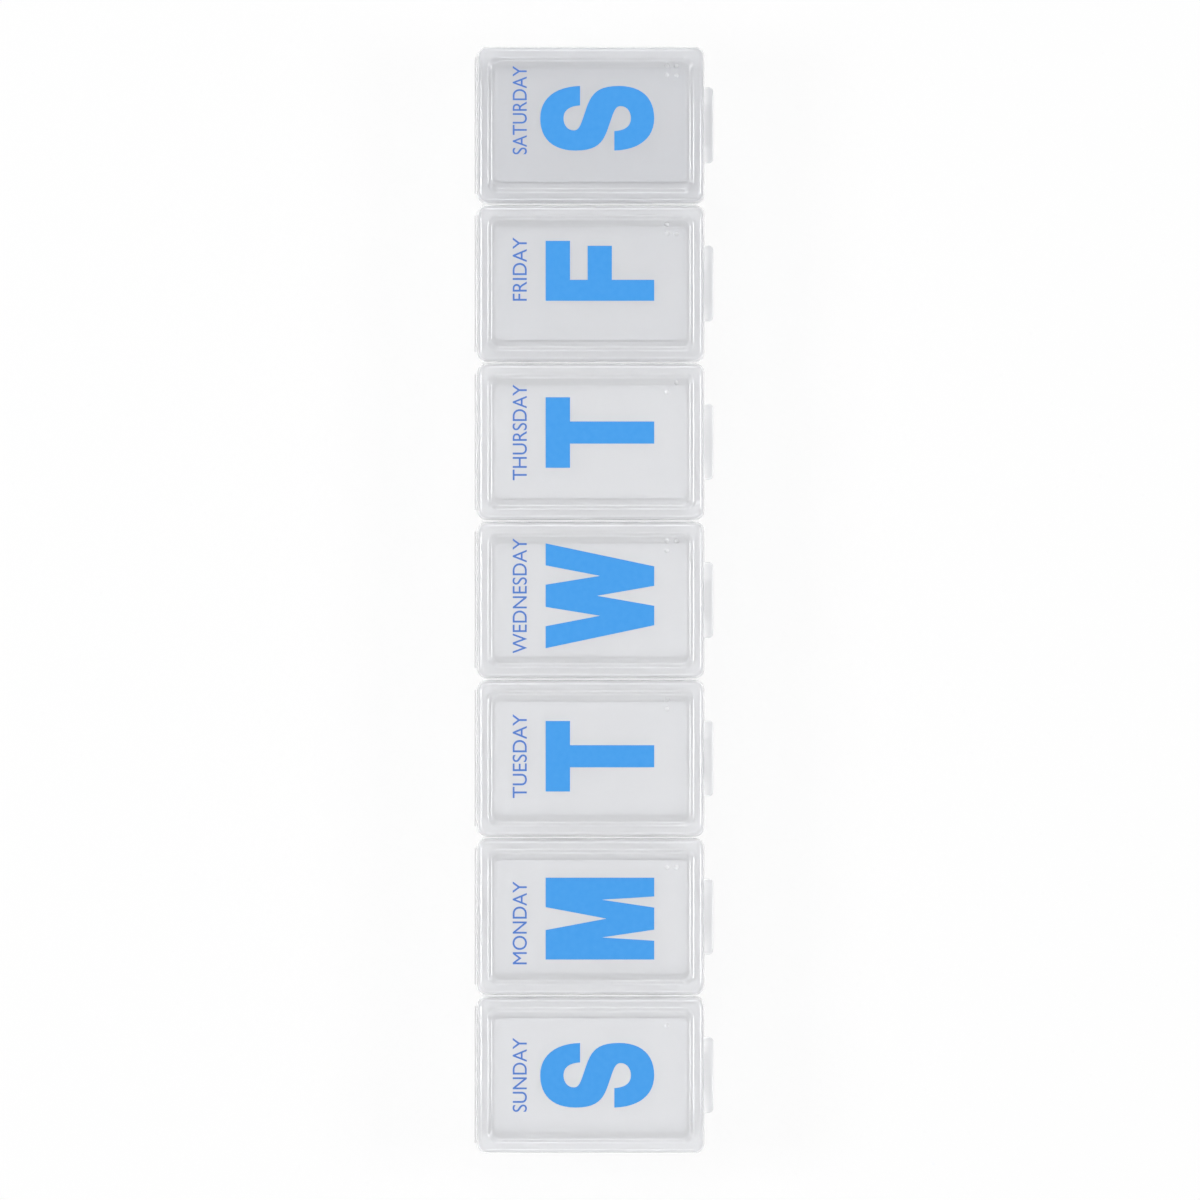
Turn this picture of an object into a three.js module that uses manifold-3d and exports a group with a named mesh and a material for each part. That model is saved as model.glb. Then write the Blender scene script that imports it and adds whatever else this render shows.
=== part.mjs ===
// A weekly pill organizer: seven tapered cups in a row, each closed by its own lid on a moulded
// living hinge, with a thumb tab, raised dots and a large printed initial on every lid.
// Millimetres, +Z up. +X runs along the week, -Y is the side of the thumb tabs, and the origin is
// at the middle of the base.
import * as THREE from "three";
import { mergeVertices } from "three/addons/utils/BufferGeometryUtils.js";
import Module from "manifold-3d";

const wasm = await Module();
wasm.setup();

// Row of compartments
const dayPitch = 30.9; // from one compartment to the next
const lidGap = 0.3; // between neighbouring lids
const plateWidth = 44.4; // flange and lid, front to back
const plateCorner = 1.8; // their corner radius in plan

// Cups
const trayHeight = 25; // base to flange top
const flangeThickness = 1.4;
const flangeReach = 1.8; // how far the flange stands out from the cup, along the row
const longFlangeReach = 1; // and at the front and the back
const cupWall = 1.1;
const floorThickness = 1.2;
const cupTaper = 0.6; // how far each wall leans in on its way down
const mouthCorner = 2.6; // corner radius of the mouth
const baseRound = 2.4; // outer round from wall to base
const floorRound = 1.6; // inner round from wall to floor

// Webs and ribs that join neighbouring cups
const webBackInset = 1; // where the web stops short of the hinge edge
const webFrontInset = 2.2; // and of the tab edge
const ribThickness = 1;
const ribDepth = 8;
const ribInset = 10; // from the front and back edges of the flange

// Lids
const seatGap = 0.2; // between flange and closed lid
const lidHeight = 3;
const skirtWall = 1.1;
const skirtFoot = 0.6; // its upright lower part
const skirtLean = 0.3; // how far it leans in above that
const edgeRound = 0.9; // round along the lid's top edge
const rimLand = 0.9; // flat top of the raised rim
const rimSlope = 0.8; // slope from the rim to the panel, in plan
const panelRecess = 0.5; // how far the panel lies below the rim
const panelThickness = 1;
const plugWall = 1; // rib that plugs the cup's mouth
const plugDepth = 2; // below the flange top
const plugClearance = 0.25;

// Thumb tab and its catch
const tabLength = 14.8;
const tabReach = 1.7;
const tabThickness = 1.2;
const tabCorner = 0.9;
const catchInset = 3.4; // from each end of the tab
const catchClearance = 0.5; // between flange and catch
const catchThickness = 0.7;
const catchDrop = 1.7;
const beadRadius = 0.2; // snap beads on the flange and on the catch

// Living hinge
const hingeInset = 2; // from each end of the lid
const hingeThickness = 0.3;
const hingeRadius = 0.35; // of the fold's middle line

// Raised dots
const cellEndShare = 0.427; // middle of a full cell along the panel, of the panel's length
const cellFrontShare = 0.433; // and towards the tab, of its width
const dotPitch = 1.85;
const dotRadius = 0.5;
const dotHeight = 0.3;

// Print
const inkThickness = 0.15;
const letterHeightShare = 0.549; // of the panel's width
const roundLetterShare = 1.05; // how much taller a round initial is than a straight one
const letterBackShare = -0.046; // middle of the initial from the panel's middle, towards the hinge

const cornerSteps = 4;
const roundSteps = 3;
const foldSteps = 8;
const curveSteps = 5;
const beadSides = 8;
const dotSides = 10;
const dotRings = 3;
const overlap = 0.4; // how far joined solids run into each other

// The week in order. An initial's width, and how far its print sits towards the next day, are in
// shares of the panel's length. The dots count the day from one to seven in a raised cell, which
// is numbered down its left column and then its right.
const days = [
  { name: "sunday", letter: "S", widthShare: 0.53, driftShare: 0, dots: [1] },
  { name: "monday", letter: "M", widthShare: 0.644, driftShare: -0.014, dots: [1, 2] },
  { name: "tuesday", letter: "T", widthShare: 0.555, driftShare: 0.017, dots: [1, 4] },
  { name: "wednesday", letter: "W", widthShare: 0.825, driftShare: 0.033, dots: [1, 4, 5] },
  { name: "thursday", letter: "T", widthShare: 0.555, driftShare: 0.071, dots: [1, 5] },
  { name: "friday", letter: "F", widthShare: 0.472, driftShare: 0.097, dots: [1, 2, 4] },
  { name: "saturday", letter: "S", widthShare: 0.53, driftShare: 0.051, dots: [1, 2, 4, 5] },
];

// Sizes that follow from those above
const plateLength = dayPitch - lidGap;
const mouthInset = flangeReach + cupWall;
const cupStretch = flangeReach - longFlangeReach;
const flangeUnder = trayHeight - flangeThickness;
const lidBottom = trayHeight + seatGap;
const lidTop = lidBottom + lidHeight;
const panelTop = lidTop - panelRecess;
const panelUnder = panelTop - panelThickness;
const rimInset = skirtLean + edgeRound + rimLand;
const panelInset = rimInset + rimSlope;
const panelLength = plateLength - 2 * panelInset;
const panelWidth = plateWidth - 2 * panelInset;
const partingZ = trayHeight + seatGap / 2;
const hingeBulge = hingeRadius + hingeThickness / 2;
const plateMiddleY = (tabReach - hingeBulge) / 2;
const plateBackY = plateMiddleY + plateWidth / 2;
const plateFrontY = plateMiddleY - plateWidth / 2;

// Colours of the frosted plastic and the ink
const frosted = new THREE.MeshStandardMaterial({ color: 0xdcdde0, roughness: 0.4, metalness: 0 });
const frostedLid = new THREE.MeshStandardMaterial({ color: 0xd8d9dd, roughness: 0.32, metalness: 0 });
const blueInk = new THREE.MeshStandardMaterial({ color: 0x509ee7, roughness: 0.45, metalness: 0 });

// One ring of points round a rounded rectangle that lies inset from the plate's outline, stretched
// by the same amount at the front and at the back.
function ring(inset, corner, z, stretch = 0) {
  const points = [];
  const straightX = plateLength / 2 - inset - corner;
  const straightY = plateWidth / 2 - inset - corner + stretch;
  for (let side = 0; side < 4; side++) {
    const middleX = side === 0 || side === 3 ? straightX : -straightX;
    const middleY = side < 2 ? straightY : -straightY;
    for (let step = 0; step <= cornerSteps; step++) {
      const angle = ((side + step / cornerSteps) * Math.PI) / 2;
      points.push(new THREE.Vector3(
        middleX + corner * Math.cos(angle),
        plateMiddleY + middleY + corner * Math.sin(angle),
        z,
      ));
    }
  }
  return points;
}

// A closed skin through rings, listed so that the material lies to the left of the path when the
// path goes outwards. The first and last rings are closed flat.
function skin(rings) {
  const count = rings[0].length;
  const vertices = rings.flat();
  const first = new THREE.Vector3(0, plateMiddleY, rings[0][0].z);
  const last = new THREE.Vector3(0, plateMiddleY, rings[rings.length - 1][0].z);
  const firstIndex = vertices.push(first) - 1;
  const lastIndex = vertices.push(last) - 1;
  const lastRing = (rings.length - 1) * count;
  const faces = [];
  for (let i = 0; i < count; i++) {
    const next = (i + 1) % count;
    faces.push(firstIndex, next, i);
    faces.push(lastIndex, lastRing + i, lastRing + next);
    for (let r = 0; r < rings.length - 1; r++) {
      const near = r * count;
      const far = near + count;
      faces.push(near + i, near + next, far + next);
      faces.push(near + i, far + next, far + i);
    }
  }
  const geometry = new THREE.BufferGeometry().setFromPoints(vertices);
  geometry.setIndex(faces);
  return geometry;
}

// A solid made from a closed geometry, for joining and cutting.
function solid(geometry) {
  const loose = geometry.index ? geometry.toNonIndexed() : geometry;
  const bare = new THREE.BufferGeometry();
  bare.setAttribute("position", loose.getAttribute("position"));
  const merged = mergeVertices(bare);
  return new wasm.Manifold(new wasm.Mesh({
    numProp: 3,
    vertProperties: merged.attributes.position.array,
    triVerts: new Uint32Array(merged.index.array),
  }));
}

// The geometry of a joined or cut solid, with plain flat-shaded faces.
function geometryOf(made) {
  const mesh = made.getMesh();
  const geometry = new THREE.BufferGeometry();
  geometry.setAttribute("position", new THREE.BufferAttribute(new Float32Array(mesh.vertProperties), 3));
  geometry.setIndex(new THREE.BufferAttribute(new Uint32Array(mesh.triVerts), 1));
  const flat = geometry.toNonIndexed();
  flat.computeVertexNormals();
  return flat;
}

// A box between two corners.
function block(low, high) {
  const size = high.clone().sub(low);
  const middle = low.clone().add(high).divideScalar(2);
  return solid(new THREE.BoxGeometry(size.x, size.y, size.z).translate(middle.x, middle.y, middle.z));
}

// A round bar along X, used for the snap beads.
function bead(length, y, z) {
  const bar = new THREE.CylinderGeometry(beadRadius, beadRadius, length, beadSides);
  return solid(bar.rotateZ(Math.PI / 2).translate(0, y, z));
}

// Half of the web and ribs that reach from a cup to the middle of the gap beside it.
function halfLinks(side) {
  const inner = plateLength / 2 - mouthInset + cupWall / 2;
  const outer = dayPitch / 2;
  const across = (low, high, lowY, highY) => block(
    new THREE.Vector3(side > 0 ? inner : -outer, lowY, low),
    new THREE.Vector3(side > 0 ? outer : -inner, highY, high),
  );
  let links = across(flangeUnder, trayHeight, plateFrontY + webFrontInset, plateBackY - webBackInset);
  for (const ribY of [plateFrontY + ribInset, plateBackY - ribInset]) {
    const low = flangeUnder - ribDepth;
    links = links.add(across(low, trayHeight, ribY - ribThickness / 2, ribY + ribThickness / 2));
  }
  return links;
}

// One cup with its flange: outside from the base up, over the flange, and down to the floor.
function cupGeometry(hasLinkBefore, hasLinkAfter) {
  const wallCorner = mouthCorner + cupWall;
  const rings = [];
  for (let step = 0; step <= roundSteps; step++) {
    const angle = ((step / roundSteps) * Math.PI) / 2;
    const away = baseRound * (1 - Math.sin(angle));
    const inset = flangeReach + cupTaper + away;
    const z = baseRound * (1 - Math.cos(angle));
    rings.push(ring(inset, wallCorner - away, z, cupStretch));
  }
  rings.push(ring(flangeReach, wallCorner, flangeUnder, cupStretch));
  rings.push(ring(0, plateCorner, flangeUnder));
  rings.push(ring(0, plateCorner, trayHeight));
  rings.push(ring(mouthInset, mouthCorner, trayHeight, cupStretch));
  for (let step = 0; step <= roundSteps; step++) {
    const angle = ((step / roundSteps) * Math.PI) / 2;
    const away = floorRound * (1 - Math.cos(angle));
    const z = floorThickness + floorRound * (1 - Math.sin(angle));
    rings.push(ring(mouthInset + cupTaper + away, mouthCorner - away, z, cupStretch));
  }
  let made = solid(skin(rings));
  if (hasLinkBefore) made = made.add(halfLinks(-1));
  if (hasLinkAfter) made = made.add(halfLinks(1));
  const catchLength = tabLength - 2 * catchInset;
  made = made.add(bead(catchLength, plateFrontY, trayHeight - 2 * beadRadius));
  return geometryOf(made);
}

// The tab, from inside the lid's front edge to its rounded outer corners.
function tabSolid() {
  const outline = new THREE.Shape();
  const half = tabLength / 2;
  const outer = plateFrontY - tabReach;
  outline.moveTo(-half, plateFrontY + overlap);
  outline.lineTo(-half, outer + tabCorner);
  outline.absarc(-half + tabCorner, outer + tabCorner, tabCorner, Math.PI, 1.5 * Math.PI, false);
  outline.lineTo(half - tabCorner, outer);
  outline.absarc(half - tabCorner, outer + tabCorner, tabCorner, 1.5 * Math.PI, 2 * Math.PI, false);
  outline.lineTo(half, plateFrontY + overlap);
  outline.closePath();
  const depth = { depth: tabThickness, bevelEnabled: false, curveSegments: cornerSteps };
  return solid(new THREE.ExtrudeGeometry(outline, depth).translate(0, 0, lidBottom));
}

// The catch that hangs from the tab in front of the flange, with its bead.
function catchSolid() {
  const half = tabLength / 2 - catchInset;
  const inner = plateFrontY - catchClearance;
  const low = new THREE.Vector3(-half, inner - catchThickness, lidBottom - catchDrop);
  const high = new THREE.Vector3(half, inner, lidBottom + tabThickness / 2);
  return block(low, high).add(bead(2 * half, inner, low.z + 2 * beadRadius));
}

// One raised dot, a flattened dome sunk a little into the panel.
function dotSolid(x, y) {
  const dome = new THREE.SphereGeometry(dotRadius, dotSides, 2 * dotRings).rotateX(Math.PI / 2);
  return solid(dome.scale(1, 1, dotHeight / dotRadius).translate(x, y, panelTop));
}

// The day's cell of raised dots, near the tab at the later end of the panel.
function dotsOn(made, dots) {
  const cellX = cellEndShare * panelLength;
  const cellY = plateMiddleY - cellFrontShare * panelWidth;
  for (const dot of dots) {
    const column = dot > 3 ? 1 : 0;
    const row = (dot - 1) % 3;
    made = made.add(dotSolid(cellX + (column - 0.5) * dotPitch, cellY + (1 - row) * dotPitch));
  }
  return made;
}

// One lid: from under the panel, round the plug rib and the skirt, over the rim and onto the panel.
function lidGeometry(dots) {
  const plugOuter = mouthInset + plugClearance;
  const plugCorner = mouthCorner - plugClearance;
  const plugBottom = trayHeight - plugDepth;
  const rings = [
    ring(plugOuter + plugWall, plugCorner - plugWall, panelUnder, cupStretch),
    ring(plugOuter + plugWall, plugCorner - plugWall, plugBottom, cupStretch),
    ring(plugOuter, plugCorner, plugBottom, cupStretch),
    ring(plugOuter, plugCorner, panelUnder, cupStretch),
    ring(skirtWall, plateCorner, panelUnder),
    ring(skirtWall, plateCorner, lidBottom),
    ring(0, plateCorner, lidBottom),
    ring(0, plateCorner, lidBottom + skirtFoot),
  ];
  for (let step = 0; step <= roundSteps; step++) {
    const angle = ((step / roundSteps) * Math.PI) / 2;
    const inset = skirtLean + edgeRound * (1 - Math.cos(angle));
    rings.push(ring(inset, plateCorner, lidTop - edgeRound * (1 - Math.sin(angle))));
  }
  rings.push(ring(rimInset, plateCorner, lidTop));
  rings.push(ring(panelInset, plateCorner, panelTop));
  const made = solid(skin(rings)).add(tabSolid()).add(catchSolid());
  return geometryOf(dotsOn(made, dots));
}

// The thin web that folds behind the lid: half a tube, open towards the flange and the lid.
function hingeGeometry() {
  const fold = new THREE.Shape();
  const outer = hingeRadius + hingeThickness / 2;
  const inner = hingeRadius - hingeThickness / 2;
  fold.absarc(plateBackY, partingZ, outer, -Math.PI / 2, Math.PI / 2, false);
  fold.absarc(plateBackY, partingZ, inner, Math.PI / 2, -Math.PI / 2, true);
  fold.closePath();
  const length = plateLength - 2 * hingeInset;
  const geometry = new THREE.ExtrudeGeometry(fold, {
    depth: length,
    bevelEnabled: false,
    curveSegments: foldSteps,
  });
  const alongX = new THREE.Matrix4().makeBasis(
    new THREE.Vector3(0, 1, 0),
    new THREE.Vector3(0, 0, 1),
    new THREE.Vector3(1, 0, 0),
  );
  return geometry.applyMatrix4(alongX).translate(-length / 2, 0, 0);
}

// Right halves of the initials that are alike on both sides, from the top down, in shares of their
// width and height about the middle.
const halfLetterShares = {
  T: [[0.5, 0.5], [0.5, 0.275], [0.157, 0.275], [0.157, -0.5]],
  M: [[0, -0.06], [0.14, 0.5], [0.5, 0.5], [0.5, -0.5], [0.27, -0.5], [0.23, -0.02], [0.135, -0.5]],
  W: [[0.106, 0.5], [0.19, 0], [0.29, 0.5], [0.5, 0.5], [0.281, -0.5], [0.095, -0.5], [0, 0.025]],
};

// The whole outline of the one that is not.
const wholeLetterShares = {
  F: [[-0.5, 0.5], [-0.5, -0.5], [-0.15, -0.5], [-0.15, -0.11], [0.417, -0.11], [0.417, 0.113],
    [-0.15, 0.113], [-0.15, 0.275], [0.5, 0.275], [0.5, 0.5]],
};

// The outline of a straight-sided initial.
function straightLetter(letter, width, height) {
  let shares = wholeLetterShares[letter];
  if (!shares) {
    const half = halfLetterShares[letter];
    const mirrored = half.filter(([across]) => across > 0).map(([across, up]) => [-across, up]);
    shares = half.concat(mirrored.reverse());
  }
  return new THREE.Shape(shares.map(([across, up]) => new THREE.Vector2(across * width, up * height)));
}

// Half of the round initial's outline, as curves in shares of its width and height. The other half
// is the same, turned half a turn about the middle.
const roundLetterShares = [
  [0.47, 0.37, 0.29, 0.5, 0, 0.5],
  [-0.3, 0.5, -0.48, 0.39, -0.48, 0.19],
  [-0.48, -0.04, -0.3, -0.065, -0.05, -0.115],
  [0.1, -0.145, 0.18, -0.16, 0.18, -0.205],
  [0.18, -0.26, 0.1, -0.295, 0, -0.295],
  [-0.11, -0.295, -0.18, -0.25, -0.19, -0.15],
];
const roundLetterStartShare = [0.48, 0.15];

function roundLetter(width, height) {
  const outline = new THREE.Shape();
  const [startX, startY] = roundLetterStartShare;
  outline.moveTo(startX * width, startY * height);
  for (const turn of [1, -1]) {
    for (const shares of roundLetterShares) {
      const at = shares.map((share, i) => turn * share * (i % 2 ? height : width));
      outline.bezierCurveTo(...at);
    }
    outline.lineTo(-turn * startX * width, -turn * startY * height);
  }
  return outline;
}

// The printed initial, lying on the panel. A round one stands on the others' baseline.
function letterGeometry(day) {
  const isRound = day.letter === "S";
  const straightHeight = letterHeightShare * panelWidth;
  const height = isRound ? roundLetterShare * straightHeight : straightHeight;
  const width = day.widthShare * panelLength;
  const outline = isRound ? roundLetter(width, height) : straightLetter(day.letter, width, height);
  const ink = { depth: inkThickness, bevelEnabled: false, curveSegments: curveSteps };
  const x = day.driftShare * panelLength;
  const y = plateMiddleY + letterBackShare * panelWidth + (height - straightHeight) / 2;
  return new THREE.ExtrudeGeometry(outline, ink).translate(x, y, panelTop);
}

// A named piece at its compartment's place along the row.
function piece(name, geometry, material, x) {
  const mesh = new THREE.Mesh(geometry, material);
  mesh.name = name;
  mesh.position.x = x;
  return mesh;
}

const organizer = new THREE.Group();
const hinge = hingeGeometry();
days.forEach((day, index) => {
  const x = (index - (days.length - 1) / 2) * dayPitch;
  const cup = cupGeometry(index > 0, index < days.length - 1);
  organizer.add(piece(`cup_${day.name}`, cup, frosted, x));
  organizer.add(piece(`lid_${day.name}`, lidGeometry(day.dots), frostedLid, x));
  organizer.add(piece(`hinge_web_${day.name}`, hinge.clone(), frostedLid, x));
  organizer.add(piece(`initial_${day.name}`, letterGeometry(day), blueInk, x));
});

export default organizer;
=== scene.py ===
"""Looks of a weekly pill organizer: seven frosted cups in a row, whose lids fold on living hinges.

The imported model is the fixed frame, and every size that it shows is read from it. The script then makes the
moulded tray, the lids with their tabs, catches and raised dots, the folded webs and the prints, and dresses
them. +X runs along the week, -Y is the side of the thumb tabs, and everything is in metres.
"""

import logging
import math
from dataclasses import dataclass, replace
from enum import Enum

import bmesh
import bpy
from mathutils import Matrix, Vector


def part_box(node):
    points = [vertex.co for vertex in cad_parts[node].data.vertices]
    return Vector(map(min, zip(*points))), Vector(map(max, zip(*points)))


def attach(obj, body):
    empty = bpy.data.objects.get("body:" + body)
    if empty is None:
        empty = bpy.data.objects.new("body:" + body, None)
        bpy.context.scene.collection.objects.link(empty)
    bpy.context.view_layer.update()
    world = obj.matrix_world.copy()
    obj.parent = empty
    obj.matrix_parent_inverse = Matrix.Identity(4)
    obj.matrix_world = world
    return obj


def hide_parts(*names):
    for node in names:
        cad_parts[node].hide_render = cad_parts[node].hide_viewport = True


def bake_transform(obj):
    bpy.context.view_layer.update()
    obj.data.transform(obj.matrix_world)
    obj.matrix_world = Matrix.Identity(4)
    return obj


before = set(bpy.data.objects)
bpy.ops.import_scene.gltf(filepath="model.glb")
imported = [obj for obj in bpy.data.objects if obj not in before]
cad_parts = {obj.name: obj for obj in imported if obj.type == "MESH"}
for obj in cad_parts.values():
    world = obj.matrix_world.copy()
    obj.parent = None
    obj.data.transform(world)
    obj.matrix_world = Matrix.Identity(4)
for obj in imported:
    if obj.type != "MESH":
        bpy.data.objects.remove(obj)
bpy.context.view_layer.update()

log = logging.getLogger("pill_organizer")

MM = 0.001
# Name of the per-vertex mark of painted shade, which darkens the lids' colour.
PAINTED_SHADE = "greyness"
TRAY_BODY = "tray"
WHITE = (1.0, 1.0, 1.0, 1.0)
BEVEL_STEPS = 3
ROUND_PROFILE = 0.5
DOME_SEGMENTS, DOME_RINGS = 20, 12

# Details of the shader group's noises, and the values of one between which the colour turns cloudy.
CLOUD_DETAIL, WAVE_DETAIL, GRAIN_DETAIL = 3.0, 1.0, 2.0
CLEAR_SHARE, CLOUDY_SHARE = 0.3, 0.7


class Slot(Enum):
    """Material slots of the record."""

    TRAY = "tray_plastic"
    LID = "lid_plastic"
    INK = "blue_ink"


@dataclass(frozen=True)
class Marking:
    """What one lid carries.

    The widths of the initial and of the name are shares of the panel's length, and so is how far the print
    sits towards the next day. The name sits a little further still by its own share. The dots count the day
    in a raised cell that is numbered down its left column and then its right. The painted shade share says
    how much of the painted shade tint its lid has, which grows towards the Saturday end of the row.
    """

    initial: str
    width_share: float
    drift_share: float
    name_width_share: float
    name_drift_share: float
    grey_share: float
    dots: tuple[int, ...]


class Day(Enum):
    """The week in the order of the row."""

    # The sixth values are shares of painted shade: the lids grow darker towards the Saturday end of the row.
    SUNDAY = Marking("S", 0.53, 0.0, 0.582, 0.0, 0.64, (1,))
    MONDAY = Marking("M", 0.644, -0.014, 0.652, -0.039, 0.64, (1, 2))
    TUESDAY = Marking("T", 0.555, 0.017, 0.66, 0.0, 0.64, (1, 4))
    WEDNESDAY = Marking("W", 0.825, 0.033, 0.904, 0.0, 0.64, (1, 4, 5))
    THURSDAY = Marking("T", 0.555, 0.071, 0.753, 0.0, 0.66, (1, 5))
    FRIDAY = Marking("F", 0.472, 0.097, 0.498, 0.008, 0.8, (1, 2, 4))
    SATURDAY = Marking("S", 0.53, 0.051, 0.695, 0.061, 1.0, (1, 2, 4, 5))

    @property
    def key(self) -> str:
        """The day as node and body names spell it."""
        return self.name.lower()

    @property
    def lid_body(self) -> str:
        """The body of this day's lid."""
        return f"lid_{self.key}"

    @property
    def middle_x(self) -> float:
        """The middle of this day's compartment along the row."""
        low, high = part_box(f"lid_{self.key}")
        return (low.x + high.x) / 2


@dataclass(frozen=True)
class Station:
    """One stop of a moulded wall's section, from which a rounded rectangle is swept.

    inset is its distance in from the plate's outline, corner the rectangle's corner radius, stretch how much
    nearer it comes to the front and back edges, and fillet the radius that rounds the section off there.
    """

    inset: float
    height: float
    corner: float
    stretch: float = 0.0
    fillet: float = 0.0

    def toward(self, other: "Station", share: float) -> "Station":
        """The sharp station that lies a share of the way to another."""
        return Station(**{
            size: (1 - share) * getattr(self, size) + share * getattr(other, size)
            for size in ("inset", "height", "corner", "stretch")
        })


@dataclass
class Moulding:
    """Sizes that the tray and the lids share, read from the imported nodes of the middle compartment."""

    plate_corner: float = 1.8 * MM
    flange_thickness: float = 1.4 * MM
    flange_reach: float = 1.8 * MM
    long_flange_reach: float = 1.0 * MM
    wall: float = 1.1 * MM
    mouth_corner: float = 2.6 * MM
    tab_reach: float = 1.7 * MM
    tab_length: float = 14.8 * MM
    catch_inset: float = 3.4 * MM
    bead_radius: float = 0.2 * MM
    bead_round_share: float = 0.9
    longest_fillet_share: float = 0.49
    corner_steps: int = 9
    fillet_steps: int = 6

    def __post_init__(self) -> None:
        """Reads what the frame holds."""
        cup_low, cup_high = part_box("cup_wednesday")
        lid_low, lid_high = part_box("lid_wednesday")
        web_low, web_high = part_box("hinge_web_wednesday")
        self.pitch = cup_high.x - cup_low.x
        self.plate_length = lid_high.x - lid_low.x
        self.back_y = lid_high.y
        self.front_y = lid_low.y + self.tab_reach
        self.middle_y = (self.back_y + self.front_y) / 2
        self.plate_width = self.back_y - self.front_y
        self.tray_top = cup_high.z
        self.lid_top = lid_high.z
        self.plug_bottom = lid_low.z
        self.parting_z = (web_low.z + web_high.z) / 2
        self.lid_bottom = 2 * self.parting_z - self.tray_top
        self.web_length = web_high.x - web_low.x
        self.web_bulge = web_high.y - web_low.y
        self.stretch = self.flange_reach - self.long_flange_reach
        self.mouth_inset = self.flange_reach + self.wall

    def ring(self, station: Station) -> list[Vector]:
        """The points of one rounded rectangle about the middle of a compartment.

        Args:
            station: its inset, height, corner and stretch.

        Returns:
            The points, counterclockwise seen from above.
        """
        straight_x = self.plate_length / 2 - station.inset - station.corner
        straight_y = self.plate_width / 2 - station.inset - station.corner + station.stretch
        signs = ((1, 1), (-1, 1), (-1, -1), (1, -1))
        points = []
        for quarter, (sign_x, sign_y) in enumerate(signs):
            for step in range(self.corner_steps + 1):
                angle = (quarter + step / self.corner_steps) * math.pi / 2
                points.append(Vector((
                    sign_x * straight_x + station.corner * math.cos(angle),
                    self.middle_y + sign_y * straight_y + station.corner * math.sin(angle),
                    station.height,
                )))
        return points

    def rounded(self, stations: list[Station]) -> list[Station]:
        """Rounds a section off.

        Args:
            stations: the section, with its fillets.

        Returns:
            The stations, with an arc of them in place of each one that has a fillet.
        """
        out = [stations[0]]
        for before, here, after in zip(stations, stations[1:], stations[2:]):
            out += self.fillet(before, here, after) if here.fillet else [here]
        return out + [stations[-1]]

    def fillet(self, before: Station, here: Station, after: Station) -> list[Station]:
        """The arc that rounds one station off.

        Args:
            before: the station that the section comes from.
            here: the station with the fillet.
            after: the station that the section goes to.

        Returns:
            The stations along the arc.
        """
        corner = Vector((here.inset, here.height))
        back = Vector((before.inset, before.height)) - corner
        ahead = Vector((after.inset, after.height)) - corner
        half_angle = back.angle(ahead) / 2
        longest = self.longest_fillet_share * min(back.length, ahead.length)
        reach = min(here.fillet / math.tan(half_angle), longest)
        radius = reach * math.tan(half_angle)
        middle = (back.normalized() + ahead.normalized()).normalized()
        centre = corner + middle * radius / math.sin(half_angle)
        first = here.toward(before, reach / back.length)
        last = here.toward(after, reach / ahead.length)
        start = Vector((first.inset, first.height)) - centre
        end = Vector((last.inset, last.height)) - centre
        sweep = start.angle(end)
        arc = []
        for step in range(self.fillet_steps + 1):
            share = step / self.fillet_steps
            spoke = (
                start * math.sin((1 - share) * sweep) + end * math.sin(share * sweep)
            ) / math.sin(sweep)
            at = centre + spoke
            arc.append(replace(first.toward(last, share), inset=at.x, height=at.y))
        return arc

    def loft(self, name: str, stations: list[Station]) -> bpy.types.Object:
        """A closed solid swept through the stations, about the middle of a compartment."""
        return new_object(name, skin([self.ring(stop) for stop in self.rounded(stations)]))

    def bead(self, y: float, z: float) -> bpy.types.Object:
        """A bead along the row under the tab, of which half sinks into what carries it.

        Args:
            y: the face that it lies on.
            z: its height.

        Returns:
            The bead.
        """
        half = self.tab_length / 2 - self.catch_inset
        section = Vector((0, self.bead_radius, self.bead_radius))
        middle = Vector((0, y, z))
        end = Vector((half, 0, 0))
        rounding = self.bead_round_share * self.bead_radius
        return block("bead", middle - end - section, middle + end + section, rounding)


def added(name: str, data: bpy.types.ID) -> bpy.types.Object:
    """Adds an object at the origin.

    Args:
        name: its name.
        data: what it shows, such as a mesh.

    Returns:
        The object.
    """
    thing = bpy.data.objects.new(name, data)
    bpy.context.scene.collection.objects.link(thing)
    return thing


def linked(name: str, made: bmesh.types.BMesh) -> bpy.types.Object:
    """Adds an object with the mesh that was made, and frees that.

    Args:
        name: the object's name.
        made: the mesh under construction.

    Returns:
        The object, at the origin.
    """
    mesh = bpy.data.meshes.new(name)
    made.to_mesh(mesh)
    made.free()
    return added(name, mesh)


def new_object(name: str, made: bmesh.types.BMesh) -> bpy.types.Object:
    """Turns the faces of a mesh outwards and adds it as an object."""
    bmesh.ops.recalc_face_normals(made, faces=made.faces)
    return linked(name, made)


def skin(rings: list[list[Vector]]) -> bmesh.types.BMesh:
    """A closed mesh through rings of points, with a flat face at either end.

    Args:
        rings: the rings in order, each with as many points.

    Returns:
        The mesh under construction, with its faces turned outwards, as a bevel needs them.
    """
    made = bmesh.new()
    rows = [[made.verts.new(point) for point in ring] for ring in rings]
    count = len(rows[0])
    for near, far in zip(rows, rows[1:]):
        for i in range(count):
            j = (i + 1) % count
            made.faces.new((near[i], near[j], far[j], far[i]))
    made.faces.new(reversed(rows[0]))
    made.faces.new(rows[-1])
    bmesh.ops.recalc_face_normals(made, faces=made.faces)
    return made


def bevel(made: bmesh.types.BMesh, edges: list[bmesh.types.BMEdge], radius: float) -> None:
    """Rounds edges of a mesh under construction."""
    bmesh.ops.bevel(
        made, geom=edges, offset=radius, segments=BEVEL_STEPS, profile=ROUND_PROFILE, affect="EDGES"
    )


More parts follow.
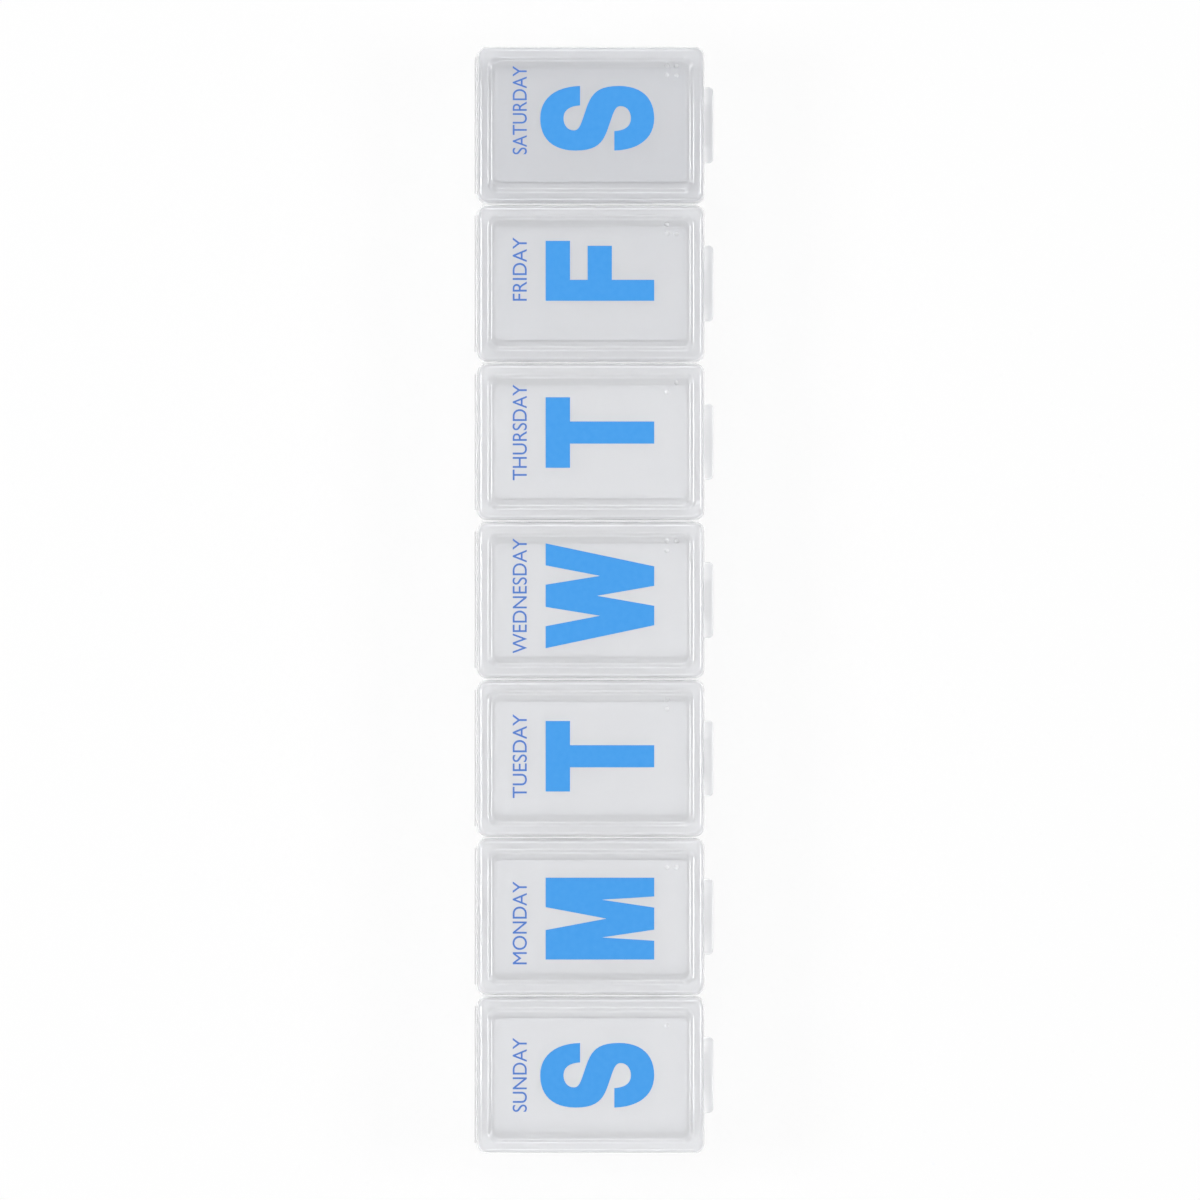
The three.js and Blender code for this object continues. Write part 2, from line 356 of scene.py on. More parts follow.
def block(name: str, low: Vector, high: Vector, rounding: float) -> bpy.types.Object:
    """A box between two corners with rounded edges.

    Args:
        name: the object's name.
        low: its lowest corner.
        high: its highest corner.
        rounding: the radius of its edges.

    Returns:
        The object.
    """
    made = bmesh.new()
    bmesh.ops.create_cube(made, size=1.0)
    size = high - low
    place = Matrix.Translation((low + high) / 2) @ Matrix.Diagonal((*size, 1))
    bmesh.ops.transform(made, matrix=place, verts=made.verts)
    bevel(made, made.edges[:], rounding)
    return new_object(name, made)


def slab(
    outline: list[Vector], low: float, high: float, rounding: float = 0.0
) -> bmesh.types.BMesh:
    """A flat plate with a given outline.

    Args:
        outline: its corners in plan.
        low: its underside.
        high: its top.
        rounding: the radius of its level edges.

    Returns:
        The mesh under construction.
    """
    made = skin([[Vector((p.x, p.y, z)) for p in outline] for z in (low, high)])
    if rounding:
        level = [e for e in made.edges if abs(e.verts[0].co.z - e.verts[1].co.z) < rounding]
        bevel(made, level, rounding)
    return made


def clean(piece: bpy.types.Object, distance: float = 0.0005 * MM) -> bpy.types.Object:
    """Merges the hair-thin faces that a join leaves, which would shade dark.

    Args:
        piece: the joined piece.
        distance: the length under which an edge is closed up.

    Returns:
        The piece.
    """
    made = bmesh.new()
    made.from_mesh(piece.data)
    bmesh.ops.remove_doubles(made, verts=made.verts, dist=distance)
    bmesh.ops.dissolve_degenerate(made, edges=made.edges, dist=distance)
    open_edges = sum(not edge.is_manifold for edge in made.edges)
    if open_edges:
        log.warning("%s has %d open edges", piece.name, open_edges)
    made.to_mesh(piece.data)
    made.free()
    return piece


def evaluated_mesh(piece: bpy.types.Object) -> bpy.types.Mesh:
    """Works out what a piece's modifiers, or its text, come to.

    Args:
        piece: the piece.

    Returns:
        The result as a plain mesh.
    """
    bpy.context.view_layer.update()
    evaluated = piece.evaluated_get(bpy.context.evaluated_depsgraph_get())
    return bpy.data.meshes.new_from_object(evaluated)


def bake(piece: bpy.types.Object) -> bpy.types.Object:
    """Puts the result of a piece's modifiers into its mesh, and removes them.

    Args:
        piece: the piece.

    Returns:
        The piece.
    """
    mesh = evaluated_mesh(piece)
    piece.modifiers.clear()
    piece.data = mesh
    return piece


def smooth(piece: bpy.types.Object, angle: float = math.radians(32)) -> bpy.types.Object:
    """Shades a moulded piece smooth across its fillets and flat on its faces.

    Args:
        piece: the piece.
        angle: the angle from which an edge stays sharp.

    Returns:
        The piece.
    """
    piece.data.shade_smooth()
    piece.data.set_sharp_from_angle(angle=angle)
    weighted = piece.modifiers.new("even_faces", "WEIGHTED_NORMAL")
    weighted.keep_sharp = True
    return bake(piece)


def discard(*pieces: bpy.types.Object) -> None:
    """Removes objects that only served to make others."""
    for piece in pieces:
        bpy.data.objects.remove(piece)


class Wiring:
    """Adds nodes to a tree and feeds their inputs, each with a value or with another node's output."""

    def __init__(self, tree: bpy.types.NodeTree) -> None:
        """Takes the tree to add to."""
        self.tree = tree

    def node(
        self, kind: str, given: dict[str, object] | None = None, **settings: object
    ) -> bpy.types.Node:
        """Adds a node.

        Args:
            kind: the node's type.
            given: what its inputs are fed with, by name.
            settings: its properties.

        Returns:
            The node.
        """
        made = self.tree.nodes.new(kind)
        for key, value in settings.items():
            setattr(made, key, value)
        self.fill(made, given or {})
        return made

    def fill(self, node: bpy.types.Node, given: dict[str, object]) -> None:
        """Feeds a node's inputs by name."""
        for label, value in given.items():
            self.feed(node.inputs[label], value)

    def feed(self, socket: bpy.types.NodeSocket, value: object) -> None:
        """Links an input to an output, or sets its value.

        Args:
            socket: the input.
            value: another node's output, or a value.
        """
        if isinstance(value, bpy.types.NodeSocket):
            self.tree.links.new(value, socket)
        else:
            socket.default_value = value

    def math(self, operation: str, *values: object) -> bpy.types.NodeSocket:
        """Adds a Math node.

        Args:
            operation: what it does.
            values: what its inputs are fed with, in order.

        Returns:
            Its result.
        """
        made = self.node("ShaderNodeMath", operation=operation)
        for socket, value in zip(made.inputs, values):
            self.feed(socket, value)
        return made.outputs["Value"]


class Group(Wiring):
    """A node group under construction, with named inputs and outputs."""

    def __init__(
        self, name: str, kind: str, inputs: dict[str, str], outputs: dict[str, str]
    ) -> None:
        """Starts the group.

        Args:
            name: the group's name.
            kind: its type of tree.
            inputs: the kinds of its inputs, by name.
            outputs: the kinds of its outputs, by name.
        """
        super().__init__(bpy.data.node_groups.new(name, kind))
        for way, wanted in (("INPUT", inputs), ("OUTPUT", outputs)):
            for label, socket in wanted.items():
                self.tree.interface.new_socket(
                    label, in_out=way, socket_type=f"NodeSocket{socket}"
                )
        self.given = self.node("NodeGroupInput").outputs
        self.out = self.node("NodeGroupOutput").inputs


class Maker(Group):
    """A geometry node group that makes a piece, dressed in its Finish."""

    def __init__(self, name: str, inputs: dict[str, str]) -> None:
        """Starts the group with the piece's own mesh and its material as further inputs."""
        wanted = {"Geometry": "Geometry", **inputs, "Finish": "Material"}
        super().__init__(name, "GeometryNodeTree", wanted, {"Geometry": "Geometry"})

    def finish(self, geometry: bpy.types.NodeSocket) -> None:
        """Ends the group in Realize Instances and Set Material.

        Args:
            geometry: what the group has made.
        """
        whole = self.node("GeometryNodeRealizeInstances", {"Geometry": geometry})
        dressed = self.node("GeometryNodeSetMaterial", {
            "Geometry": whole.outputs["Geometry"],
            "Material": self.given["Finish"],
        })
        self.feed(self.out["Geometry"], dressed.outputs["Geometry"])

    def mesh_of(self, label: str) -> bpy.types.NodeSocket:
        """The mesh of the object that an input names."""
        info = self.node(
            "GeometryNodeObjectInfo", {"Object": self.given[label]}, transform_space="ORIGINAL"
        )
        return info.outputs["Geometry"]

    def joined(self, *solids: bpy.types.NodeSocket) -> bpy.types.NodeSocket:
        """Joins solids.

        Args:
            solids: the solids, or instances of them.

        Returns:
            Their union.
        """
        union = self.node("GeometryNodeMeshBoolean", operation="UNION", solver="MANIFOLD")
        for solid in solids:
            whole = self.node("GeometryNodeRealizeInstances", {"Geometry": solid})
            self.feed(union.inputs["Mesh 2"], whole.outputs["Geometry"])
        return union.outputs["Mesh"]

    def apply(self, piece: bpy.types.Object, values: dict[str, object]) -> bpy.types.Object:
        """Runs the group on a piece and keeps the result as its mesh.

        Args:
            piece: the piece whose mesh goes in.
            values: the other inputs, by name.

        Returns:
            The piece.
        """
        modifier = piece.modifiers.new(self.tree.name, "NODES")
        modifier.node_group = self.tree
        for item in self.tree.interface.items_tree:
            if item.in_out == "INPUT" and item.name in values:
                modifier[item.identifier] = values[item.name]
        return bake(piece)


def row_maker() -> Maker:
    """Builds what repeats a compartment along the row and joins each to the next with a link.

    Returns:
        The maker, with the link, the count and the pitch in.
    """
    maker = Maker("compartment_row", {"Link": "Object", "Count": "Int", "Pitch": "Float"})
    pitch = maker.given["Pitch"]

    def along_row(form: bpy.types.NodeSocket, fewer: int) -> bpy.types.NodeSocket:
        """Repeats a form about the row's middle.

        Args:
            form: the form.
            fewer: how many fewer there are than compartments.

        Returns:
            The copies.
        """
        count = maker.math("SUBTRACT", maker.given["Count"], fewer)
        first = maker.math("MULTIPLY", maker.math("SUBTRACT", count, 1), -0.5)
        line = maker.node("GeometryNodeMeshLine", {
            "Count": count,
            "Start Location": maker.node(
                "ShaderNodeCombineXYZ", {"X": maker.math("MULTIPLY", first, pitch)}
            ).outputs["Vector"],
            "Offset": maker.node("ShaderNodeCombineXYZ", {"X": pitch}).outputs["Vector"],
        }, mode="OFFSET")
        copies = maker.node("GeometryNodeInstanceOnPoints", {
            "Points": line.outputs["Mesh"],
            "Instance": form,
        })
        return copies.outputs["Instances"]

    maker.finish(maker.joined(
        along_row(maker.given["Geometry"], 0), along_row(maker.mesh_of("Link"), 1)
    ))
    return maker


def form_joiner() -> Maker:
    """Builds what joins one more moulded form to a solid.

    Returns:
        The maker, with the form in.
    """
    maker = Maker("joined_form", {"Form": "Object"})
    maker.finish(maker.joined(maker.given["Geometry"], maker.mesh_of("Form")))
    return maker


def dot_maker() -> Maker:
    """Builds what raises a flattened dome on a lid at each point of a cell.

    Returns:
        The maker, with the cell and the dots' sizes in.
    """
    maker = Maker("raised_dots", {"Cell": "Object", "Dot Radius": "Float", "Dot Height": "Float"})
    dome = maker.node("GeometryNodeMeshUVSphere", {
        "Segments": DOME_SEGMENTS, "Rings": DOME_RINGS, "Radius": 1.0,
    })
    radius = maker.given["Dot Radius"]
    scale = maker.node(
        "ShaderNodeCombineXYZ", {"X": radius, "Y": radius, "Z": maker.given["Dot Height"]}
    )
    dots = maker.node("GeometryNodeInstanceOnPoints", {
        "Points": maker.mesh_of("Cell"),
        "Instance": dome.outputs["Mesh"],
        "Scale": scale.outputs["Vector"],
    })
    maker.finish(maker.joined(maker.given["Geometry"], dots.outputs["Instances"]))
    return maker


def surface_group() -> bpy.types.NodeTree:
    """The shader group of everything moulded or printed.

    It clouds the colour, darkens it by the painted shade tint as far as the painted shade mark says, scatters
    dust on it, makes the gloss uneven and gives the skin waves and grain.

    Returns:
        The group, with Colour, Roughness and Height out.
    """
    group = Group("moulded_surface", "ShaderNodeTree", {
        "Greyness": "Float",
        "Grey Tint": "Color",
        "Clear Colour": "Color",
        "Cloudy Colour": "Color",
        "Cloud Size": "Float",
        "Dust Colour": "Color",
        "Dust Spacing": "Float",
        "Dust Size": "Float",
        "Dust Share": "Float",
        "Roughness": "Float",
        "Roughness Spread": "Float",
        "Wave Size": "Float",
        "Grain Size": "Float",
        "Grain Share": "Float",
    }, {"Colour": "Color", "Roughness": "Float", "Height": "Float"})
    given = group.given
    place = group.node("ShaderNodeTexCoord").outputs["Object"]

    def per(size: str) -> bpy.types.NodeSocket:
        """The scale at which a texture's features are as large as an input says."""
        return group.math("DIVIDE", 1.0, given[size])

    def noise(size: str, detail: float) -> bpy.types.NodeSocket:
        """Noise with features as large as an input says."""
        made = group.node("ShaderNodeTexNoise", {
            "Vector": place, "Scale": per(size), "Detail": detail,
        })
        return made.outputs["Fac"]

    def mixed(
        share: object, first: object, second: object, way: str = "MIX"
    ) -> bpy.types.NodeSocket:
        """Two colours mixed."""
        return group.node(
            "ShaderNodeMix", {"Factor": share, "A": first, "B": second},
            data_type="RGBA", blend_type=way,
        ).outputs["Result"]

    spread = group.node("ShaderNodeMapRange", {
        "Value": noise("Cloud Size", CLOUD_DETAIL),
        "From Min": CLEAR_SHARE,
        "From Max": CLOUDY_SHARE,
    })
    clouded = mixed(spread.outputs["Result"], given["Clear Colour"], given["Cloudy Colour"])
    # Painted shade: the clouded colour multiplied towards the tint as far as the painted shade mark says.
    shade_painted = mixed(given["Greyness"], clouded, given["Grey Tint"], "MULTIPLY")
    cells = group.node("ShaderNodeTexVoronoi", {"Vector": place, "Scale": per("Dust Spacing")})
    near = group.math(
        "LESS_THAN", group.math("MULTIPLY", cells.outputs["Distance"], given["Dust Spacing"]),
        given["Dust Size"],
    )
    chosen = group.math("LESS_THAN", cells.outputs["Color"], given["Dust Share"])
    dusty = mixed(group.math("MULTIPLY", near, chosen), shade_painted, given["Dust Colour"])
    group.feed(group.out["Colour"], dusty)

    wave = group.math("SUBTRACT", noise("Wave Size", WAVE_DETAIL), 0.5)
    gloss = group.math("MULTIPLY_ADD", wave, given["Roughness Spread"], given["Roughness"])
    group.feed(group.out["Roughness"], gloss)
    grain = noise("Grain Size", GRAIN_DETAIL)
    height = group.math("MULTIPLY_ADD", grain, given["Grain Share"], wave)
    group.feed(group.out["Height"], height)
    return group.tree


@dataclass(frozen=True)
class Finish:
    """A finish of the organizer: what its plastic or ink looks like, with sizes in metres."""

    name: str
    clear_colour: tuple[float, float, float]
    cloudy_colour: tuple[float, float, float]
    roughness: float
    # The colour that painted shade multiplies in, where a piece carries the painted shade mark.
    grey_tint: tuple[float, float, float] = (1.0, 1.0, 1.0)
    roughness_spread: float = 0.1
    transmission: float = 0.0
    refraction: float = 1.49
    coat: float = 0.0
    coat_roughness: float = 0.1
    coat_refraction: float = 1.5
    cloud_size: float = 9 * MM
    dust_colour: tuple[float, float, float] = (0.3, 0.29, 0.28)
    dust_spacing: float = 2.2 * MM
    dust_size: float = 0.11 * MM
    dust_share: float = 0.0
    wave_size: float = 6 * MM
    grain_size: float = 0.35 * MM
    grain_share: float = 0.1
    relief: float = 0.008 * MM

    def material(self, group: bpy.types.NodeTree) -> bpy.types.Material:
        """Builds the material.

        Args:
            group: the surface group that it uses.

        Returns:
            The material.
        """
        made = bpy.data.materials.new(self.name)
        made.use_nodes = True
        wiring = Wiring(made.node_tree)
        # Reads the painted shade that each lid's vertices carry.
        greyness = wiring.node("ShaderNodeAttribute", attribute_name=PAINTED_SHADE)
        surface = wiring.node("ShaderNodeGroup", {
            "Greyness": greyness.outputs["Fac"],
            "Grey Tint": (*self.grey_tint, 1.0),
            "Clear Colour": (*self.clear_colour, 1.0),
            "Cloudy Colour": (*self.cloudy_colour, 1.0),
            "Cloud Size": self.cloud_size,
            "Dust Colour": (*self.dust_colour, 1.0),
            "Dust Spacing": self.dust_spacing,
            "Dust Size": self.dust_size,
            "Dust Share": self.dust_share,
            "Roughness": self.roughness,
            "Roughness Spread": self.roughness_spread,
            "Wave Size": self.wave_size,
            "Grain Size": self.grain_size,
            "Grain Share": self.grain_share,
        }, node_tree=group)
        bump = wiring.node("ShaderNodeBump", {
            "Height": surface.outputs["Height"], "Distance": self.relief,
        })
        wiring.fill(made.node_tree.nodes["Principled BSDF"], {
            "Base Color": surface.outputs["Colour"],
            "Roughness": surface.outputs["Roughness"],
            "Normal": bump.outputs["Normal"],
            "IOR": self.refraction,
            "Transmission Weight": self.transmission,
            "Coat Weight": self.coat,
            "Coat Roughness": self.coat_roughness,
            "Coat IOR": self.coat_refraction,
        })
        return made


class Finishes:
    """The organizer's materials."""

    def __init__(self) -> None:
        """Builds each material once."""
        group = surface_group()
        self.tray = Finish(
            "frosted_tray", (0.965, 0.968, 0.977), (0.98, 0.981, 0.986), roughness=0.36,
            transmission=0.84, refraction=1.13, coat=0.6, coat_roughness=0.15, grain_share=0.3,
        ).material(group)
        # The lid's tint is painted shade, darkest on its panels.
        self.lid = Finish(
            "frosted_lid", (0.97, 0.972, 0.98), (0.985, 0.987, 0.992), roughness=0.36,
            grey_tint=(0.565, 0.575, 0.603), transmission=0.72, refraction=1.08, coat=0.9,
            coat_roughness=0.05, coat_refraction=1.7, cloud_size=5 * MM, dust_share=0.06,
        ).material(group)
        self.web = Finish(
            "folded_web", (0.96, 0.963, 0.975), (0.975, 0.977, 0.985), roughness=0.36,
            transmission=0.5, coat=0.5,
        ).material(group)
        self.initial_ink = Finish(
            "initial_ink", (0.045, 0.325, 0.81), (0.055, 0.34, 0.82), roughness=0.4,
            cloud_size=1.2 * MM, grain_size=0.12 * MM, relief=0.01 * MM,
        ).material(group)
        self.name_ink = Finish(
            "name_ink", (0.06, 0.19, 0.6), (0.08, 0.21, 0.62), roughness=0.4,
            cloud_size=0.8 * MM, grain_size=0.12 * MM, relief=0.01 * MM,
        ).material(group)


@dataclass
class Tray:
    """The seven cups with their flanges, and the webs and ribs that join them, as one moulding."""

    moulding: Moulding
    taper: float = 0.6 * MM
    floor: float = 1.2 * MM
    base_fillet: float = 2.4 * MM
    floor_fillet: float = 1.6 * MM
    under_fillet: float = 0.5 * MM
    edge_fillet: float = 0.25 * MM
    web_back_inset: float = 1.0 * MM
    web_front_inset: float = 2.2 * MM
    rib_thickness: float = 1.0 * MM
    rib_depth: float = 8.0 * MM
    rib_inset: float = 10.0 * MM
    hair: float = 0.05 * MM
    bead_drop: float = 0.4 * MM

    def cup_section(self) -> list[Station]:
        """The section of a cup.

        Returns:
            The stations, from its base over the flange and down to its floor.
        """
        m = self.moulding
        outer_corner = m.mouth_corner + m.wall
        under = m.tray_top - m.flange_thickness
        foot = m.flange_reach + self.taper
        inner_foot = m.mouth_inset + self.taper
        return [
            Station(foot + 2 * self.base_fillet, 0, outer_corner - self.base_fillet, m.stretch),
            Station(foot, 0, outer_corner, m.stretch, self.base_fillet),
            Station(m.flange_reach, under, outer_corner, m.stretch, self.under_fillet),
            Station(0, under, m.plate_corner, 0, self.edge_fillet),
            Station(0, m.tray_top, m.plate_corner, 0, self.edge_fillet),
            Station(m.mouth_inset, m.tray_top, m.mouth_corner, m.stretch, self.edge_fillet),
            Station(inner_foot, self.floor, m.mouth_corner, m.stretch, self.floor_fillet),
            Station(
                inner_foot + 2 * self.floor_fillet, self.floor,
                m.mouth_corner - self.floor_fillet, m.stretch,
            ),
        ]

    def link(self) -> bpy.types.Object:
        """The web and its two ribs between one cup and the next.

        Returns:
            The link, about the middle of the gap.
        """
        m = self.moulding
        reach = m.pitch / 2 - (m.plate_length / 2 - m.mouth_inset + m.wall / 2)
        under = m.tray_top - m.flange_thickness
        front, back = m.front_y + self.web_front_inset, m.back_y - self.web_back_inset
        web = block(
            "link_web",
            Vector((-reach, front, under + self.hair)),
            Vector((reach, back, m.tray_top - self.hair)),
            self.edge_fillet,
        )
        joiner = form_joiner()
        for y in (m.front_y + self.rib_inset, m.back_y - self.rib_inset):
            rib = block(
                "link_rib",
                Vector((-reach, y - self.rib_thickness / 2, under - self.rib_depth)),
                Vector((reach, y + self.rib_thickness / 2, m.tray_top - 3 * self.hair)),
                self.edge_fillet,
            )
            joiner.apply(web, {"Form": rib})
            discard(rib)
        return web

    def build(self, finishes: Finishes) -> bpy.types.Object:
        """Makes and dresses the whole tray.

        Args:
            finishes: the organizer's materials.

        Returns:
            The tray, riding on its body.
        """
        m = self.moulding
        tray = m.loft("tray_moulding", self.cup_section())
        bead = m.bead(m.front_y, m.tray_top - self.bead_drop)
        form_joiner().apply(tray, {"Form": bead})
        link = self.link()
        row_maker().apply(tray, {
            "Link": link,
            "Count": len(Day),
            "Pitch": m.pitch,
            "Finish": finishes.tray,
        })
        discard(link, bead)
        smooth(clean(tray))
        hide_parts(*(f"cup_{day.key}" for day in Day))
        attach(tray, TRAY_BODY)
        log.info("tray: %d faces", len(tray.data.polygons))
        return tray


@dataclass
class Lid:
    """A lid: skirt, raised rim, recessed panel, plug rib, thumb tab, catch and raised dots."""

    moulding: Moulding
    skirt: float = 1.1 * MM
    skirt_foot: float = 0.6 * MM
    skirt_lean: float = 0.3 * MM
    edge_round: float = 0.9 * MM
    rim_land: float = 0.9 * MM
    rim_slope: float = 0.8 * MM
    recess: float = 0.5 * MM
    soft_band: float = 1.3 * MM
    # Shares of painted shade on the rim and on the tab, against the panel's whole share.
    rim_grey_share: float = 0.82
    tab_grey_share: float = 0.6
    panel_thickness: float = 1.0 * MM
    plug_wall: float = 1.0 * MM
    plug_clearance: float = 0.25 * MM
    small_fillet: float = 0.25 * MM
    edge_fillet: float = 0.8 * MM
    tab_thickness: float = 1.2 * MM
    tab_corner: float = 0.9 * MM
    catch_clearance: float = 0.5 * MM
    catch_thickness: float = 0.7 * MM
    catch_drop: float = 1.7 * MM
    bead_rise: float = 0.4 * MM
    hair: float = 0.03 * MM
    cell_end_share: float = 0.427
    cell_front_share: float = 0.433
    cell_rows: int = 3
    dot_pitch: float = 1.85 * MM
    dot_radius: float = 0.5 * MM
    dot_height: float = 0.3 * MM

    @property
    def rim_inset(self) -> float:
        """How far in the raised rim ends."""
        return self.skirt_lean + self.edge_round + self.rim_land

    @property
    def panel_inset(self) -> float:
        """How far in the recessed panel starts."""
        return self.rim_inset + self.rim_slope

    @property
    def panel_top(self) -> float:
        """The height of the panel's upper face."""
        return self.moulding.lid_top - self.recess

    @property
    def panel_length(self) -> float:
        """The panel's length along the row."""
        return self.moulding.plate_length - 2 * self.panel_inset

    @property
    def panel_width(self) -> float:
        """The panel's width from front to back."""
        return self.moulding.plate_width - 2 * self.panel_inset

    def section(self) -> list[Station]:
        """The section of a lid.

        Returns:
            The stations, from under its panel round the plug rib and the skirt to its panel.
        """
        m = self.moulding
        under = self.panel_top - self.panel_thickness
        plug = m.mouth_inset + self.plug_clearance
        plug_corner = m.mouth_corner - self.plug_clearance
        inner = plug + self.plug_wall
        inner_corner = plug_corner - self.plug_wall
        fine = self.small_fillet
        dip = self.panel_top - self.hair
        return [
            Station(inner + 4 * fine, under, inner_corner, m.stretch),
            Station(inner, under, inner_corner, m.stretch, fine),
            Station(inner, m.plug_bottom, inner_corner, m.stretch, fine),
            Station(plug, m.plug_bottom, plug_corner, m.stretch, 1.5 * fine),
            Station(plug, under, plug_corner, m.stretch, fine),
            Station(self.skirt, under, m.plate_corner, 0, fine),
            Station(self.skirt, m.lid_bottom, m.plate_corner, 0, fine / 2),
            Station(0, m.lid_bottom, m.plate_corner, 0, fine),
            Station(0, m.lid_bottom + self.skirt_foot, m.plate_corner, 0, 2 * fine),
            Station(self.skirt_lean, m.lid_top, m.plate_corner, 0, self.edge_round),
            Station(self.rim_inset, m.lid_top, m.plate_corner, 0, self.edge_fillet),
            Station(self.panel_inset, dip, m.plate_corner, 0, self.edge_fillet),
            Station(self.panel_inset + self.soft_band, self.panel_top, m.plate_corner),
        ]

    def tab(self) -> bpy.types.Object:
        """The thumb tab, with its rounded outer corners.

        Returns:
            The tab.
        """
        m = self.moulding
        half = m.tab_length / 2
        inner = m.front_y + self.skirt / 2
        outer = m.front_y - m.tab_reach
        outline = [Vector((half, inner)), Vector((-half, inner))]
        for side, first in ((-1, 2), (1, 3)):
            for step in range(m.corner_steps + 1):
                angle = (first + step / m.corner_steps) * math.pi / 2
                outline.append(Vector((
                    side * (half - self.tab_corner) + self.tab_corner * math.cos(angle),
                    outer + self.tab_corner + self.tab_corner * math.sin(angle),
                )))
        low = m.lid_bottom + self.hair
        return new_object("tab", slab(outline, low, low + self.tab_thickness, self.small_fillet))

    def catch(self) -> bpy.types.Object:
        """The catch that hangs from the tab in front of the flange.

        Returns:
            The catch.
        """
        m = self.moulding
        half = m.tab_length / 2 - m.catch_inset
        inner = m.front_y - self.catch_clearance
        return block(
            "catch",
            Vector((-half, inner - self.catch_thickness, m.lid_bottom - self.catch_drop)),
            Vector((half, inner, m.lid_bottom + self.tab_thickness / 2)),
            self.small_fillet / 2,
        )

    def blank(self) -> bpy.types.Object:
        """A whole lid without its dots.

        Returns:
            The lid, about the middle of a compartment.
        """
        lid = self.moulding.loft("lid_blank", self.section())
        joiner = form_joiner()
        m = self.moulding
        bead = m.bead(
            m.front_y - self.catch_clearance, m.lid_bottom - self.catch_drop + self.bead_rise
        )
        for form in (self.tab(), self.catch(), bead):
            joiner.apply(lid, {"Form": form})
            discard(form)
        return lid

    def cell(self, day: Day) -> bpy.types.Object:
        """The points of a day's raised cell.

        Args:
            day: the day that the dots count.

        Returns:
            An object whose vertices are the dots' places.
        """
        middle_x = day.middle_x + self.cell_end_share * self.panel_length
        middle_y = self.moulding.middle_y - self.cell_front_share * self.panel_width
        made = bmesh.new()
        for dot in day.value.dots:
            column, row = divmod(dot - 1, self.cell_rows)
            made.verts.new((
                middle_x + (column - 0.5) * self.dot_pitch,
                middle_y + ((self.cell_rows - 1) / 2 - row) * self.dot_pitch,
                self.panel_top,
            ))
        return new_object("cell", made)

    def grey(self, lid: bpy.types.Object, middle_x: float, grey_share: float) -> None:
        """Paints shade on a lid as a mark for its finish to read: most on the thin panel, less on its rim and
        tab.

        Towards its edge the painted shade of the panel fades to the rim's.

        Args:
            lid: the lid.
            middle_x: the middle of the lid along the row.
            grey_share: how much of the painted shade tint it has.
        """
        # Painted shade per vertex: the panel most, fading at its edge, the rim and the tab less.
        marks = lid.data.attributes.new(PAINTED_SHADE, "FLOAT", "POINT")
        low, high = self.panel_top - 2 * self.hair, self.panel_top + self.hair
        for vertex, mark in zip(lid.data.vertices, marks.data):
            x, y, z = vertex.co
            inside = min(
                self.panel_length / 2 - abs(x - middle_x),
                self.panel_width / 2 - abs(y - self.moulding.middle_y),
            )
            if low < z < high:
                mark.value = grey_share * min(max(inside / self.soft_band, self.rim_grey_share), 1)
            elif y < self.moulding.front_y:
                mark.value = grey_share * self.tab_grey_share
            elif z >= high:
                mark.value = grey_share * self.rim_grey_share

    def build(self, day: Day, blank: bpy.types.Object, finishes: Finishes) -> bpy.types.Object:
        """Makes and dresses one day's lid.

        Args:
            day: the day.
            blank: the lid without dots.
            finishes: the organizer's materials.

        Returns:
            The lid, riding on its body.
        """
        lid = added(f"lid_moulding_{day.key}", blank.data.copy())
        lid.data.transform(Matrix.Translation((day.middle_x, 0, 0)))
        cell = self.cell(day)
        dot_maker().apply(lid, {
            "Cell": cell,
            "Dot Radius": self.dot_radius,
            "Dot Height": self.dot_height,
            "Finish": finishes.lid,
        })
        discard(cell)
        self.grey(clean(lid), day.middle_x, day.value.grey_share)
        smooth(lid)
        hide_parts(f"lid_{day.key}")
        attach(lid, day.lid_body)
        log.info("lid of %s: %d faces", day.key, len(lid.data.polygons))
        return lid


@dataclass
class HingeWeb:
    """The thin web that folds behind a lid, half a tube between the flange and the skirt."""

    moulding: Moulding
    thickness: float = 0.3 * MM
    root: float = 0.12 * MM
    fold_steps: int = 24
    length_steps: int = 12
    turning_share: float = 0.85

    def build(self, day: Day, finishes: Finishes) -> bpy.types.Object:
        """Makes and dresses one web between the tray and the lid.

        Args:
            day: the day whose lid it carries.
            finishes: the organizer's materials.

        Returns:
            The web.
        """
        m = self.moulding
        outer = m.web_bulge
        inner = outer - self.thickness
        angles = [math.pi * (step / self.fold_steps - 0.5) for step in range(self.fold_steps + 1)]
        section = []
        for radius, turns in ((outer, angles), (inner, angles[::-1])):
            arc = [Vector((radius * math.cos(a), radius * math.sin(a))) for a in turns]
            section += [Vector((-self.root, arc[0].y)), *arc, Vector((-self.root, arc[-1].y))]
        rings = []
        for step in range(self.length_steps + 1):
            x = day.middle_x + (step / self.length_steps - 0.5) * m.web_length
            rings.append([Vector((x, m.back_y + p.x, m.parting_z + p.y)) for p in section])
        web = new_object(f"folded_web_{day.key}", skin(rings))
        web.data.materials.append(finishes.web)
        smooth(web)
        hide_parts(f"hinge_web_{day.key}")
        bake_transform(web)
        log.info("web of %s", day.key)
        return web


# Right halves of the initials that are alike on both sides, from the top down, in shares of their width and
# height about the middle.
HALF_LETTER_SHARES = {
    "T": ((0.5, 0.5), (0.5, 0.275), (0.157, 0.275), (0.157, -0.5)),
    "M": ((0, -0.06), (0.14, 0.5), (0.5, 0.5), (0.5, -0.5), (0.27, -0.5), (0.23, -0.02), (0.135, -0.5)),
    "W": ((0.106, 0.5), (0.19, 0), (0.29, 0.5), (0.5, 0.5), (0.281, -0.5), (0.095, -0.5), (0, 0.025)),
}

# The whole outline of the one that is not.
WHOLE_LETTER_SHARES = {
    "F": (
        (-0.5, 0.5), (-0.5, -0.5), (-0.15, -0.5), (-0.15, -0.11), (0.417, -0.11), (0.417, 0.113),
        (-0.15, 0.113), (-0.15, 0.275), (0.5, 0.275), (0.5, 0.5),
    ),
}

